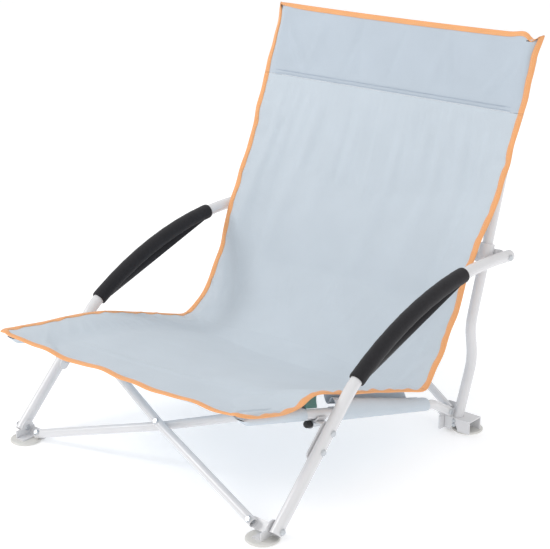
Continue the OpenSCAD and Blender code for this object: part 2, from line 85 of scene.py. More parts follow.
class CampChairSettings(bpy.types.PropertyGroup):
    """Sizes and colours that a user would change."""
    cloth_thick: bpy.props.FloatProperty(
        name="Cloth thickness", description="Thickness of one layer of the sling",
        default=0.0009, unit="LENGTH")
    sling_slack: bpy.props.FloatProperty(
        name="Slack", description="How much larger the cloth is cut than the space it spans",
        default=0.012, subtype="FACTOR")
    round_corner: bpy.props.FloatProperty(
        name="Corner rounding",
        description="How far the middle of the sling cuts the corner of seat and back",
        default=0.052, unit="LENGTH")
    tape_width: bpy.props.FloatProperty(
        name="Binding width", description="Visible width of the binding tape on each face",
        default=0.0092, unit="LENGTH")
    stitch_pitch: bpy.props.FloatProperty(
        name="Stitch pitch", description="Distance from one stitch to the next",
        default=0.0042, unit="LENGTH")
    cloth_colour: bpy.props.StringProperty(
        name="Cloth colour", description="sRGB hex of the sling cloth", default="CCD6DF")
    # The headrest cloth is the sling's cloth made a little darker: painted shade.
    shaded_headrest_colour: bpy.props.StringProperty(
        name="Headrest colour", description="sRGB hex of the doubled headrest cloth", default="C2CDD8")
    tape_colour: bpy.props.StringProperty(
        name="Binding colour", description="sRGB hex of the binding tape", default="FBB479")
    enamel_colour: bpy.props.StringProperty(
        name="Frame colour", description="sRGB hex of the powder coat", default="E2E2E4")
    foam_colour: bpy.props.StringProperty(
        name="Grip colour", description="sRGB hex of the foam grips", default="17161B")


def settings():
    return bpy.context.scene.camp_chair


# ---------------------------------------------------------------- materials

def linear(hex_colour):
    """sRGB hex to linear RGBA."""
    parts = [int(hex_colour[i:i + 2], 16) / 255 for i in (0, 2, 4)]
    return tuple(c / 12.92 if c <= 0.04045 else ((c + 0.055) / 1.055) ** 2.4 for c in parts) + (1.0,)


def add_node(tree, kind, settings_of=None, **links):
    """Adds a node, sets its values and links its inputs. A link's value is an output socket."""
    node = tree.nodes.new(kind)
    for key, value in (settings_of or {}).items():
        if hasattr(node, key):
            setattr(node, key, value)
        else:
            node.inputs[key].default_value = value
    for key, socket in links.items():
        name = key.replace("_", " ")
        tree.links.new(socket, node.inputs[name if name in node.inputs else int(key[1:])])
    return node


def new_material(name, hex_colour, roughness, **values):
    """A Principled material with its plain values on the shader's own sockets."""
    mat = bpy.data.materials.new(name)
    mat.use_nodes = True
    tree = mat.node_tree
    shader = next(n for n in tree.nodes if n.type == "BSDF_PRINCIPLED")
    shader.inputs["Base Color"].default_value = linear(hex_colour)
    shader.inputs["Roughness"].default_value = roughness
    for key, value in values.items():
        shader.inputs[key.replace("_", " ")].default_value = value
    mat.diffuse_color = linear(hex_colour)
    return mat, tree, shader


def varied_colour(tree, hex_colour, coords, scale, amount):
    """The colour, made a little lighter and darker in soft patches."""
    noise = add_node(tree, "ShaderNodeTexNoise", {"Scale": scale, "Detail": 3.0}, Vector=coords)
    light = [min(1.0, c * (1 + amount)) for c in linear(hex_colour)[:3]] + [1.0]
    dark = [c * (1 - amount) for c in linear(hex_colour)[:3]] + [1.0]
    ramp = add_node(tree, "ShaderNodeValToRGB", {}, Fac=noise.outputs["Fac"])
    ramp.color_ramp.elements[0].position = 0.3
    ramp.color_ramp.elements[0].color = dark
    ramp.color_ramp.elements[1].position = 0.7
    ramp.color_ramp.elements[1].color = light
    return ramp.outputs["Color"]


def powder_coated_steel():
    """Gloss powder coat on steel tube: a soft highlight with the faint ripple of sprayed powder."""
    mat, tree, shader = new_material("powder_coated_steel", settings().enamel_colour, 0.26,
                                     Coat_Weight=0.35, Coat_Roughness=0.12, IOR=1.5)
    coords = add_node(tree, "ShaderNodeTexCoord").outputs["Object"]
    # ripple about 2.5 mm across
    ripple = add_node(tree, "ShaderNodeTexNoise", {"Scale": 400.0, "Detail": 1.0}, Vector=coords)
    bump = add_node(tree, "ShaderNodeBump", {"Strength": 0.08, "Distance": 0.0002},
                    Height=ripple.outputs["Fac"])
    tree.links.new(bump.outputs["Normal"], shader.inputs["Normal"])
    tree.links.new(varied_colour(tree, settings().enamel_colour, coords, 18.0, 0.015),
                   shader.inputs["Base Color"])
    return mat


def zinc_plated_steel():
    """Bright zinc plate on cold-headed steel: a grey metal with a cloudy sheen and fine wear."""
    mat, tree, shader = new_material("zinc_plated_steel", "C6CACE", 0.3, Metallic=0.95)
    coords = add_node(tree, "ShaderNodeTexCoord").outputs["Object"]
    cloud = add_node(tree, "ShaderNodeTexNoise", {"Scale": 350.0, "Detail": 4.0}, Vector=coords)
    rough = add_node(tree, "ShaderNodeMapRange", {"To Min": 0.2, "To Max": 0.45}, Value=cloud.outputs["Fac"])
    tree.links.new(rough.outputs["Result"], shader.inputs["Roughness"])
    bump = add_node(tree, "ShaderNodeBump", {"Strength": 0.1, "Distance": 0.0001},
                    Height=cloud.outputs["Fac"])
    tree.links.new(bump.outputs["Normal"], shader.inputs["Normal"])
    tree.links.new(varied_colour(tree, "C6CACE", coords, 260.0, 0.08), shader.inputs["Base Color"])
    return mat


def moulded_plastic(name, hex_colour, roughness):
    """Injection-moulded polyethylene: dull, with the fine grain of a spark-eroded mould."""
    mat, tree, shader = new_material(name, hex_colour, roughness, IOR=1.5)
    coords = add_node(tree, "ShaderNodeTexCoord").outputs["Object"]
    # grain about 0.8 mm across, coarser than the real one so that it shows
    grain = add_node(tree, "ShaderNodeTexNoise", {"Scale": 1200.0, "Detail": 2.0}, Vector=coords)
    bump = add_node(tree, "ShaderNodeBump", {"Strength": 0.15, "Distance": 0.0001},
                    Height=grain.outputs["Fac"])
    tree.links.new(bump.outputs["Normal"], shader.inputs["Normal"])
    tree.links.new(varied_colour(tree, hex_colour, coords, 60.0, 0.03), shader.inputs["Base Color"])
    return mat


def closed_cell_foam():
    """Extruded closed-cell foam: almost black and matt, with pores that catch a little light."""
    mat, tree, shader = new_material("closed_cell_foam", settings().foam_colour, 0.85,
                                     Sheen_Weight=0.12, Sheen_Roughness=0.5)
    coords = add_node(tree, "ShaderNodeTexCoord").outputs["Object"]
    # pores about 1 mm across
    pores = add_node(tree, "ShaderNodeTexVoronoi", {"Scale": 1000.0}, Vector=coords)
    soft = add_node(tree, "ShaderNodeTexNoise", {"Scale": 300.0, "Detail": 4.0}, Vector=coords)
    both = add_node(tree, "ShaderNodeMath", {"operation": "ADD"}, i0=pores.outputs["Distance"],
                    i1=soft.outputs["Fac"])
    bump = add_node(tree, "ShaderNodeBump", {"Strength": 0.45, "Distance": 0.0004},
                    Height=both.outputs["Value"])
    tree.links.new(bump.outputs["Normal"], shader.inputs["Normal"])
    tree.links.new(varied_colour(tree, settings().foam_colour, coords, 220.0, 0.25),
                   shader.inputs["Base Color"])
    return mat


def woven(name, hex_colour, thread_mm, roughness, strength, patch=0.02):
    """Plain weave of polyester yarn: two sets of threads that pass over and under each other."""
    mat, tree, shader = new_material(name, hex_colour, roughness, Sheen_Weight=0.18,
                                     Sheen_Roughness=0.45, Specular_IOR_Level=0.35)
    uv = add_node(tree, "ShaderNodeUVMap", {"uv_map": "cloth"}).outputs["UV"]
    # The UV map is in metres. One wave is two threads, and a wave of scale 1 is pi / 10 m long.
    scale = math.pi / 10 / (2 * thread_mm * MM)
    waves = []
    for direction in ("X", "Y"):
        wave = add_node(tree, "ShaderNodeTexWave",
                        {"bands_direction": direction, "Scale": scale, "Distortion": 0.6,
                         "Detail": 1.0, "Detail Scale": 1.5}, Vector=uv)
        waves.append(wave.outputs["Fac"])
    cross = add_node(tree, "ShaderNodeMath", {"operation": "MULTIPLY"}, i0=waves[0], i1=waves[1])
    crease = add_node(tree, "ShaderNodeTexNoise", {"Scale": 30.0, "Detail": 5.0, "Roughness": 0.55},
                      Vector=uv)
    fine = add_node(tree, "ShaderNodeBump", {"Strength": strength, "Distance": 0.0003},
                    Height=cross.outputs["Value"])
    soft = add_node(tree, "ShaderNodeBump", {"Strength": 0.12, "Distance": 0.004},
                    Height=crease.outputs["Fac"], Normal=fine.outputs["Normal"])
    tree.links.new(soft.outputs["Normal"], shader.inputs["Normal"])
    colour = varied_colour(tree, hex_colour, uv, 14.0, patch)
    shade = add_node(tree, "ShaderNodeMapRange", {"To Min": 0.955, "To Max": 1.03},
                     Value=cross.outputs["Value"])
    mix = add_node(tree, "ShaderNodeVectorMath", {"operation": "SCALE"}, i0=colour)
    tree.links.new(shade.outputs["Result"], mix.inputs["Scale"])
    tree.links.new(mix.outputs["Vector"], shader.inputs["Base Color"])
    return mat


MATERIALS = {}


def material(name):
    """Each finish is made once."""
    if name not in MATERIALS:
        s = settings()
        MATERIALS[name] = {
            "enamel": powder_coated_steel,
            "zinc": zinc_plated_steel,
            "pad": lambda: moulded_plastic("moulded_grey_plastic", "DDDCD8", 0.5),
            "plug": lambda: moulded_plastic("moulded_black_plastic", "1B1B1E", 0.42),
            "foam": closed_cell_foam,
            "cloth": lambda: woven("woven_polyester", s.cloth_colour, 0.2961, 0.78, 0.3),
            # the headrest uses the sling's cloth in a darker colour, as painted shade
            "band": lambda: woven("woven_polyester_headrest_shaded", s.shaded_headrest_colour, 0.2961, 0.78, 0.3),
            "tape": lambda: woven("woven_binding_tape", s.tape_colour, 0.3619, 0.7, 0.55, 0.03),
            "thread": lambda: woven("spun_polyester_thread", "F6C9A0", 0.1316, 0.6, 0.4),
            "cloth_thread": lambda: woven("pale_polyester_thread", "B4C1D1", 0.1316, 0.6, 0.4),
            "webbing": lambda: woven("woven_green_webbing", "5F8C86", 0.4606, 0.75, 0.6),
        }[name]()
    return MATERIALS[name]


# ---------------------------------------------------------------- mesh helpers

def new_object(name, verts, faces, mat, uvs=None):
    """A mesh object in the frame. uvs gives one pair in metres for each vertex."""
    mesh = bpy.data.meshes.new(name)
    mesh.from_pydata([tuple(v) for v in verts], [], faces)
    layer = mesh.uv_layers.new(name="cloth")
    if uvs is not None:
        loops = np.empty(len(mesh.loops), dtype=np.int32)
        mesh.loops.foreach_get("vertex_index", loops)
        layer.data.foreach_set("uv", np.asarray(uvs, dtype=np.float32)[loops].ravel())
    mesh.polygons.foreach_set("use_smooth", [True] * len(mesh.polygons))
    mesh.update()
    obj = bpy.data.objects.new(name, mesh)
    bpy.context.scene.collection.objects.link(obj)
    obj.data.materials.append(material(mat))
    return obj


def grid_faces(rows, cols, wrap=False):
    """Quads of a grid of points, row by row. wrap joins the last column to the first."""
    faces = []
    for i in range(rows - 1):
        for j in range(cols if wrap else cols - 1):
            k = (j + 1) % cols
            faces.append((i * cols + j, i * cols + k, (i + 1) * cols + k, (i + 1) * cols + j))
    return faces


def arc_lengths(points):
    """Distance along a line of points, from its start."""
    steps = np.linalg.norm(np.diff(points, axis=0), axis=1)
    return np.concatenate([[0.0], np.cumsum(steps)])


def resample(points, count):
    """The line of points again, as count points at even distances."""
    points = np.asarray(points, float)
    s = arc_lengths(points)
    at = np.linspace(0, s[-1], count)
    return np.stack([np.interp(at, s, points[:, k]) for k in range(points.shape[1])], axis=1)


def soften(line, sigma):
    """Rounds the corners of an evenly spaced line, whose ends stay where they are."""
    if sigma < 0.3:
        return line
    reach = int(3 * sigma)
    kernel = np.exp(-0.5 * (np.arange(-reach, reach + 1) / sigma) ** 2)
    kernel /= kernel.sum()
    # odd reflection about each end keeps the ends fixed
    before = 2 * line[0] - line[reach:0:-1]
    behind = 2 * line[-1] - line[-2:-reach - 2:-1]
    padded = np.concatenate([before, line, behind])
    return np.stack([np.convolve(padded[:, k], kernel, mode="valid") for k in range(line.shape[1])], axis=1)


def thicken(obj, thickness, levels=1):
    """Gives a sheet its thickness, then one subdivision."""
    solid = obj.modifiers.new("thickness", "SOLIDIFY")
    solid.thickness = thickness
    solid.offset = 0
    if levels:
        sub = obj.modifiers.new("smooth", "SUBSURF")
        sub.levels = levels
        sub.render_levels = levels


def swept(name, path, inward, normal, profile, mat):
    """Sweeps a closed profile along a path. A profile point is (inward, along the normal)."""
    path, inward, normal = (np.asarray(a, float) for a in (path, inward, normal))
    count = len(profile)
    verts = [path[i] + b * inward[i] + n * normal[i] for i in range(len(path)) for b, n in profile]
    faces = grid_faces(len(path), count, wrap=True)
    faces.append(tuple(range(count)))
    faces.append(tuple((len(path) - 1) * count + j for j in reversed(range(count))))
    s = arc_lengths(path)
    round_way = arc_lengths(np.array(profile + profile[:1]))[:-1]
    uvs = [(round_way[j], s[i]) for i in range(len(path)) for j in range(count)]
    return new_object(name, verts, faces, mat, uvs)


def unit_rows(a):
    return a / np.maximum(np.linalg.norm(a, axis=1, keepdims=True), 1e-9)


# ---------------------------------------------------------------- seat rails

RAIL_D = 16
RAIL_X = abs(node_middle("right_rail_end_plug").x) / MM
RAIL_SLOPE = math.radians(15.4)
RAIL_COVER = RAIL_D / 2 + 2.2         # from the rail's centre to the middle of the cloth over it, mm
RAIL_REAR = 400                       # the seat's cloth leaves the rail here, mm


def rail_height(y):
    """Height of the rail's centre line over the side view's y, in mm."""
    plug = node_middle("right_rail_end_plug")
    y0 = (plug.y - FRONT_Y) / MM
    return plug.z / MM - math.tan(RAIL_SLOPE) * (y - y0)


# ---------------------------------------------------------------- sling

# Edges of the sling in the side view, in mm, from the front of the seat to the seam of the headrest.
# The two sides hang a little differently.
RIGHT_EDGE = [(-45, 213), (-14, 203), (22, 194), (62, 184), (92, 183), (112, 192), (128, 195), (155, 186),
              (215, 166),
              (277, 149), (340, 131), (404, 112), (447, 150), (468, 185), (495, 234), (511, 272), (529, 308),
              (557, 356), (585, 405), (611, 455), (645, 541)]
LEFT_EDGE = [(-45, 213), (-10, 208), (30, 204), (86, 198), (120, 195), (150, 190), (179, 185), (230, 171),
             (283, 155), (339, 137), (404, 116), (447, 150), (468, 185), (495, 234), (511, 272), (529, 308),
             (557, 356), (585, 405), (611, 455), (645, 541)]
# Half width of the sling at heights up the back, and along the seat, as (share of the length, mm)
RIGHT_HALF = [(0.0, 272), (0.06, 274), (0.12, 270), (0.2, 268), (0.34, 269), (0.44, 272), (0.475, 277),
              (0.52, 274), (0.6, 273), (0.68, 274), (0.76, 279), (0.85, 284), (0.93, 286), (1.0, 286)]
LEFT_HALF = [(0.0, 271), (0.08, 270), (0.2, 268), (0.34, 269), (0.44, 271), (0.475, 275), (0.52, 272),
             (0.6, 271), (0.68, 273), (0.76, 278), (0.85, 284), (0.93, 287), (1.0, 286)]
ROWS = 190
COLS = 97
SETTLE_FRAMES = 26
FRONT_CORNER = 9          # how much the front corners are rounded off, mm
FRONT_SAG = 7             # how much the front edge hangs between the rails, mm


def edge_lines():
    """Both edges as even rows of (y, z) in mm, matched at the corner of seat and back."""
    lines = []
    for edge in (RIGHT_EDGE, LEFT_EDGE):
        edge = np.array(edge, float)
        turn = int(np.argmin(edge[:, 1]))
        seat, back = edge[:turn + 1], edge[turn:]
        rows = round(ROWS * 0.475)
        line = np.concatenate([resample(seat, rows), resample(back, ROWS - rows + 1)[1:]])
        lines.append(soften(line, 2.0))
    return lines


def wobble(t, seed, waves, size):
    """A smooth uneven line: a few sines with seeded phases."""
    rng = np.random.default_rng(seed)
    return sum(size / (k + 1) * np.sin(2 * np.pi * w * t + rng.uniform(0, 2 * np.pi))
               for k, w in enumerate(waves))


def sling_points():
    """The sling before it settles: rows of points from the front edge to the seam."""
    right, left = edge_lines()
    t = np.linspace(0, 1, ROWS)
    step = np.linalg.norm(np.diff(right, axis=0), axis=1).mean() * MM
    middle = soften((right + left) / 2, settings().round_corner / step)
    # under its own weight the seat hangs a little in the middle, and the back leans back
    middle[:, 1] -= 9 * np.sin(np.pi * np.clip(t / 0.47, 0, 1))
    middle[:, 0] += 7 * np.sin(np.pi * np.clip((t - 0.47) / 0.53, 0, 1))
    half = [np.interp(t, *zip(*RIGHT_HALF)) + wobble(t, 3, (5, 11, 17), 1.4),
            np.interp(t, *zip(*LEFT_HALF)) + wobble(t, 8, (4, 9, 15), 1.6)]
    for line in half:
        line -= FRONT_CORNER * np.clip(1 - t / 0.022, 0, 1) ** 2
    front_sag = FRONT_SAG * np.exp(-t / 0.06)
    front_wave = wobble(np.linspace(0, 1, COLS), 17, (3, 5, 8), 2.2)
    rows = []
    for i in range(ROWS):
        for j in range(COLS):
            s = 2 * j / (COLS - 1) - 1
            edge, width = (right, half[0]) if s >= 0 else (left, half[1])
            share = 1 - (1 - min(1, abs(s))) ** 2.2
            share = share ** 2.4
            y, z = middle[i] * (1 - share) + edge[i] * share
            z += (front_wave[j] - front_sag[i]) * (1 - s ** 4) * np.exp(-t[i] / 0.08)
            z = over_rail(z, abs(s * width[i]), y)
            rows.append(place(s * width[i], y, z))
    return np.array([tuple(p) for p in rows]).reshape(ROWS, COLS, 3)


def over_rail(z, x, y):
    """The height again, but never lower than the cloth that lies over the seat rail."""
    beside = abs(x - RAIL_X)
    if beside >= RAIL_COVER or y > RAIL_REAR:
        return z
    return max(z, rail_height(y) + math.sqrt(RAIL_COVER ** 2 - beside ** 2))


def turn_row():
    """The row at the corner of seat and back."""
    right, left = edge_lines()
    return int(np.argmin(right[:, 1] + left[:, 1]))


def settle(points):
    """Lets the cloth, cut a little large, hang between its held edges."""
    scene = bpy.context.scene
    rows, cols = points.shape[:2]
    sheet = new_object("sling_trial", points.reshape(-1, 3), grid_faces(rows, cols), "cloth")
    held = sheet.vertex_groups.new(name="held")
    for i in range(rows):
        for j in range(cols):
            side = min(j, cols - 1 - j)
            weight = 1.0 if side <= 1 or i <= 1 or i >= rows - 2 else 0.0
            if weight:
                held.add([i * cols + j], weight, "REPLACE")
    cloth = sheet.modifiers.new("settling", "CLOTH")
    cloth.settings.quality = 5
    cloth.settings.mass = 0.12
    cloth.settings.air_damping = 3.0
    cloth.settings.tension_stiffness = 40
    cloth.settings.compression_stiffness = 40
    cloth.settings.shear_stiffness = 20
    cloth.settings.bending_stiffness = 0.4
    cloth.settings.vertex_group_mass = "held"
    cloth.settings.shrink_min = -settings().sling_slack
    cloth.settings.shrink_max = -settings().sling_slack
    cloth.collision_settings.use_collision = False
    cloth.point_cache.frame_start = 1
    cloth.point_cache.frame_end = SETTLE_FRAMES
    for number in range(1, SETTLE_FRAMES + 1):
        scene.frame_set(number)
    done = sheet.evaluated_get(bpy.context.evaluated_depsgraph_get())
    moved = np.empty(len(sheet.data.vertices) * 3, dtype=np.float32)
    done.data.vertices.foreach_get("co", moved)
    moved = moved.reshape(points.shape).astype(float)
    scene.frame_set(1)
    mesh = sheet.data
    bpy.data.objects.remove(sheet)
    bpy.data.meshes.remove(mesh)
    # no point moves further than the cap
    shift = moved - points
    far = np.linalg.norm(shift, axis=2, keepdims=True)
    cap = 14 * MM
    # and beside the rails and posts it hardly moves, since they hold it
    s = np.abs(np.linspace(-1, 1, cols))[None, :, None]
    free = np.clip((1 - s) / 0.3, 0, 1)
    return points + shift * free * np.minimum(1.0, cap / np.maximum(far, 1e-9))


def surface_normals(points):
    """Normals of a grid of points, towards the sitter."""
    along = np.gradient(points, axis=0)
    across = np.gradient(points, axis=1)
    normal = np.cross(across, along)
    return normal / np.maximum(np.linalg.norm(normal, axis=2, keepdims=True), 1e-12)


def pull_lines(points):
    """Soft upright folds that run down from the headrest seam, and short puckers at the edges."""
    rows, cols = points.shape[:2]
    normal = surface_normals(points)
    t = np.linspace(0, 1, rows)[:, None]
    s = np.linspace(-1, 1, cols)[None, :]
    lift = np.zeros((rows, cols))
    # each fold: where it starts across the seam, how it slants, its width, height and length
    folds = [(-0.80, -0.10, 0.030, 3.6, 0.36), (-0.68, -0.12, 0.030, 2.6, 0.26),
             (-0.50, -0.16, 0.042, 3.6, 0.42), (-0.28, -0.10, 0.040, 2.6, 0.30),
             (-0.12, -0.08, 0.030, 1.8, 0.20), (0.05, -0.05, 0.045, 2.4, 0.28),
             (0.22, -0.14, 0.040, 3.4, 0.40), (0.40, -0.10, 0.030, 2.4, 0.24),
             (0.52, -0.10, 0.038, 3.8, 0.36), (0.64, 0.02, 0.030, 3.6, 0.30),
             (0.82, -0.05, 0.028, 4.2, 0.36)]
    for start, slant, width, height, length in folds:
        down = np.clip((1 - t) / length, 0, 1)
        centre = start + slant * down
        wide = width * (0.7 + 1.1 * down)
        lift += height * MM * np.exp(-((s - centre) / wide) ** 2) * np.sin(np.pi * down) ** 0.7 * (down < 1)
    # the pressed line across the front of the seat
    line = t - 0.085 - 0.05 * (s + 1)
    lift += 1.8 * MM * np.exp(-(line / 0.006) ** 2) * np.clip(1.2 - np.abs(s + 0.2) / 0.75, 0, 1)
    # puckers from the binding's stitching
    for sign, seed in ((1, 21), (-1, 34)):
        near = np.exp(-((1 - sign * s) / 0.06) ** 2) * (1 - np.exp(-((1 - sign * s) / 0.02) ** 2))
        lift += near * wobble(t, seed, (22, 31, 43), 1.5) * MM
    lift *= np.clip(np.minimum(t, 1 - t) / 0.01, 0, 1)
    return points + normal * lift[:, :, None]


SHEETS = {}


def cloth_sheet(name, points, mat, body, cad_node, held="stretched", rests_on=()):
    """One sheet of cloth from a grid of points, kept in SHEETS with its flat size and area."""
    rows, cols = points.shape[:2]
    across = [arc_lengths(points[i])[-1] for i in range(rows)]
    along = [arc_lengths(points[:, j])[-1] for j in range(cols)]
    flat = (float(max(across)), float(max(along)))
    area = float(np.mean(across) * np.mean(along))
    v = arc_lengths(points[:, cols // 2])
    obj = new_object(name, points.reshape(-1, 3), grid_faces(rows, cols), mat, uv_rows(points, v))
    thicken(obj, settings().cloth_thick)
    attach(obj, body)
    if cad_node:
        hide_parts(cad_node)
    squash_with_fold(obj)
    SHEETS[name] = (obj, flat, area, held, rests_on)
    return obj


def uv_rows(points, v):
    """UVs in metres: across from the middle, and along."""
    out = []
    for i, row in enumerate(points):
        u = arc_lengths(row)
        out += [(x - u[-1] / 2, v[i]) for x in u]
    return out


def squash_with_fold(obj):
    """Gives the object its own copy of its mesh."""
    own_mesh(obj)


def tape_profile(width, cloth_thick):
    """Section of a tape folded over a cloth edge, as (inward, along the normal)."""
    out = 0.0011
    top = cloth_thick / 2 + 0.0011
    half = [(-out, 0.0), (-out * 0.8, top * 0.6), (-out * 0.1, top), (width * 0.45, top * 1.06),
            (width * 0.94, top), (width, top * 0.75), (width, cloth_thick * 0.5)]
    return half + [(b, -n) for b, n in reversed(half[1:])]


def bind_edge(name, path, inward, normal, body):
    """Binding tape and its stitches along one edge."""
    s = settings()
    path, inward, normal = (np.asarray(a, float) for a in (path, inward, normal))
    inward, normal = unit_rows(inward), unit_rows(normal)
    tape = swept(name, path, inward, normal, tape_profile(s.tape_width, s.cloth_thick), "tape")
    stitches = stitch_row(name + "_stitches", path + inward * s.tape_width * 0.72, normal,
                          s.cloth_thick / 2 + 0.0012, "thread")
    for obj in (tape, stitches):
        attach(obj, body)
        squash_with_fold(obj)
    return tape, stitches


def stitch_row(name, path, normal, height, mat):
    """A row of lock stitches: short rounded bars of thread on both faces."""
    pitch = settings().stitch_pitch
    s = arc_lengths(path)
    count = int(s[-1] / pitch)
    at = (np.arange(count) + 0.5) * pitch
    middle = np.stack([np.interp(at, s, path[:, k]) for k in range(3)], axis=1)
    ahead = np.stack([np.interp(at + pitch * 0.3, s, path[:, k]) for k in range(3)], axis=1)
    up = unit_rows(np.stack([np.interp(at, s, normal[:, k]) for k in range(3)], axis=1))
    along = unit_rows(ahead - middle)
    side = np.cross(along, up)
    long, wide, tall = pitch * 0.34, 0.00042, 0.00032
    section = [(-long, 0.35), (-long * 0.6, 1.0), (long * 0.6, 1.0), (long, 0.35)]
    verts, faces, uvs = [], [], []
    for face in (1, -1):
        base = middle + up * height * face
        for i in range(count):
            first = len(verts)
            for a, share in section:
                for k in range(6):
                    angle = 2 * math.pi * k / 6
                    verts.append(base[i] + along[i] * a + side[i] * wide * share * math.cos(angle)
                                 + up[i] * tall * share * math.sin(angle))
                    uvs.append((k * 0.0004, a))
            faces += [tuple(first + v for v in f) for f in grid_faces(4, 6, wrap=True)]
            faces += [tuple(first + k for k in range(6)), tuple(first + 18 + k for k in reversed(range(6)))]
    return new_object(name, verts, faces, mat, uvs)


class CAMPCHAIR_OT_sling(bpy.types.Operator):
    """Makes the seat and back cloth, with binding along its free edges"""
    bl_idname = "camp_chair.sling"
    bl_label = "Sling"

    def execute(self, context):
        points = sling_points()
        points = settle(points)
        points = pull_lines(points)
        SHEETS["points"] = points
        turn = turn_row()
        seat, back = points[:turn + 1], points[turn:]
        # the seat runs on a little under the back, so that no gap shows at the corner
        tuck = points[turn + 1:turn + 3] - surface_normals(points)[turn + 1:turn + 3] * 0.0007
        cloth_sheet("seat_cloth", np.concatenate([seat, tuck]), "cloth", "right_rail", "seat_panel",
                    rests_on=("right_hem", "left_hem"))
        cloth_sheet("back_cloth", back, "cloth", "sling_back", "back_panel",
                    rests_on=("headrest_front",))
        normal = surface_normals(points)
        # one run of tape: up the left side of the seat, along the front and back down the right side
        rows = range(turn, -1, -1)
        path, norm = ([grid[i, 0] for i in rows] + [grid[0, j] for j in range(1, COLS - 1)]
                      + [grid[i, -1] for i in reversed(rows)] for grid in (seat, normal))
        inner = [seat[i, 1] - seat[i, 0] for i in rows] + \
                [seat[1, j] - seat[0, j] for j in range(1, COLS - 1)] + \
                [seat[i, -2] - seat[i, -1] for i in reversed(rows)]
        inner = mitred(np.array(inner), (turn, turn + COLS - 1))
        SHEETS["seat_tape"] = bind_edge("seat_binding", path, inner, norm, "right_rail")
        for side, column, inside in (("right", -1, -2), ("left", 0, 1)):
            SHEETS[side + "_tape"] = bind_edge(
                side + "_back_binding", back[:, column], back[:, inside] - back[:, column],
                normal[turn:, column], "sling_back")
        return {"FINISHED"}


def mitred(inner, corners):
    """Turns the inward direction gently round the two front corners."""
    inner = unit_rows(inner)
    for c in corners:
        a, b = max(0, c - 4), min(len(inner) - 1, c + 4)
        for i in range(a, b + 1):
            w = (i - a) / (b - a)
            inner[i] = inner[a] * (1 - w) + inner[b] * w
    return unit_rows(inner)


# ---------------------------------------------------------------- headrest pocket

POST_D = 18
POST_X = abs(node_middle("right_post_top_plug").x) / MM
POST_TOP = node_middle("right_post_top_plug")
POST_LEAN = math.radians(72.8)        # the posts' straight tops, from level
POST_UP = np.array([0.0, math.cos(POST_LEAN), math.sin(POST_LEAN)])
POST_OUT = np.array([0.0, -POST_UP[2], POST_UP[1]])


def pocket_grid(face, start, rows, cols):
    """One layer of the pocket. face is 1 in front of the posts and -1 behind them."""
    top_point = np.array([0.0, POST_TOP.y, POST_TOP.z])
    seam_row = SHEETS["points"][-1]
    seam_at = float(np.dot(seam_row[COLS // 2] - top_point, POST_UP))
    top_at = 13 * MM
    round_post = (POST_D / 2 + 1.6) * MM
    post_x = POST_X * MM
    out = np.zeros((rows, cols, 3))
    for i in range(rows):
        v = i / (rows - 1)
        start_at = seam_at + start * MM
        at = start_at + (top_at - start_at) * v
        half = np.interp(at, [seam_at, seam_at + 60 * MM, top_at], [286 * MM, 284.5 * MM, 289.5 * MM])
        half += wobble(np.array([v]), 5, (1.3, 2.6), 1.2)[0] * MM
        close = np.clip((top_at - at) / (16 * MM), 0, 1) ** 0.5
        for j in range(cols):
            s = 2 * j / (cols - 1) - 1
            x = s * half
            beyond = abs(x) - post_x
            # over the post a round crown, outside it down to the flat side seam, inside it nearly taut
            if beyond > 0:
                lift = round_post * math.sqrt(max(0.0, 1 - (beyond / (half - post_x - 6 * MM)) ** 2)) \
                    if beyond < half - post_x - 6 * MM else 0.0
            else:
                sag = (1 - min(1.0, -beyond / (post_x * 0.5))) if -beyond < post_x * 0.5 else 0.0
                rest = 0.3 if face > 0 else 0.2
                lift = round_post * (rest + (1 - rest) * sag ** 6)
            droop = (-2.4 * (1 - s * s) - 9 * math.exp(-((s - 0.94) / 0.035) ** 2)) * MM * v ** 6 \
                + 3.0 * MM * math.exp(-((s - 0.86) / 0.05) ** 2) * v ** 8
            p = top_point + POST_UP * (at + droop) + POST_OUT * lift * face * close
            p[0] = x
            out[i, j] = p
    return out


def pocket_wrinkles(points, seed, size):
    """Shallow uneven creases, with a diagonal pull to each top corner."""
    rows, cols = points.shape[:2]
    t = np.linspace(0, 1, rows)[:, None]
    s = np.linspace(-1, 1, cols)[None, :]
    rng = np.random.default_rng(seed)
    lift = np.zeros((rows, cols))
    for _ in range(9):
        centre, slant = rng.uniform(-0.8, 0.8), rng.uniform(-0.14, 0.14)
        width, height = rng.uniform(0.015, 0.045), rng.uniform(-1, 1) * size * MM
        lift += height * np.exp(-((s - centre - slant * t) / width) ** 2) * np.sin(np.pi * np.clip(t, 0, 1))
    for side in (1, -1):
        line = (1 - side * s) * 0.9 - (1 - t) * 0.32
        lift += 2.6 * MM * np.exp(-(line / 0.03) ** 2) * np.sin(np.pi * t)
    inside = np.clip((0.9 - np.abs(s)) / 0.05, 0, 1)
    return points + surface_normals(points) * (lift * inside)[:, :, None]


